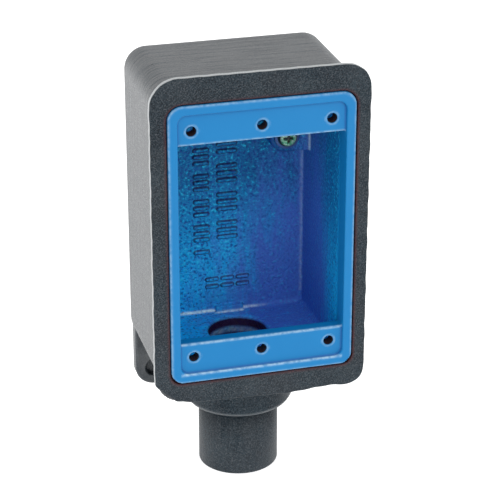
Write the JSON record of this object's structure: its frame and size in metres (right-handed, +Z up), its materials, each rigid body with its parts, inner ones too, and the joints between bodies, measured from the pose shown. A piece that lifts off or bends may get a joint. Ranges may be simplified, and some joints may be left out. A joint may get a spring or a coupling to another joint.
{
  "type": "conduit device box",
  "caption": "Coated cast wall box for a wiring device, with a lined wiring space, a face lip for a cover, a conduit hub with a sleeve, mounting lugs and a ground screw.",
  "frame": {"origin": "middle of the back mounting face, level with the middle of the device opening", "axes": "+X to the right seen from the front, +Y out of the back into the wall, +Z up along the box, away from the hub"},
  "size_m": [0.0774, 0.055, 0.1631],
  "materials": {
    "cast_iron": "rough casting, machined at the hub mouth",
    "vinyl_jacket": "dipped vinyl, matte, slightly streaked",
    "vinyl_lip": "dipped vinyl, matte, hand trimmed",
    "vinyl_sleeve": "moulded vinyl, satin",
    "blue_lining": "glossy urethane with a fine pebble",
    "washer_steel": "plated, dull",
    "ground_green": "green dyed plating"
  },
  "bodies": {
    "box": {"box_casting": "cast_iron", "body_jacket": "vinyl_jacket", "face_lip": "vinyl_lip", "cavity_lining": "blue_lining", "hub_collar": "vinyl_lip", "hub_sleeve": "vinyl_sleeve"},
    "washer": {"ground_washer": "washer_steel"},
    "screw": {"ground_screw": "ground_green"}
  },
  "joints": [
    {"name": "washer_slide", "type": "slide", "parent": "box", "child": "washer", "axis": [0, -1, 0], "range_m": [0, 0.006]},
    {"name": "screw_turn", "type": "hinge", "parent": "washer", "child": "screw", "pos_m": [0.0203, -0.0143, 0.0209], "axis": [0, -1, 0], "range_deg": [0, 2722]}
  ],
  "couplings": [
    {"joint": "screw_turn", "follows": "washer_slide", "rad_per_m": 7915.8}
  ]
}
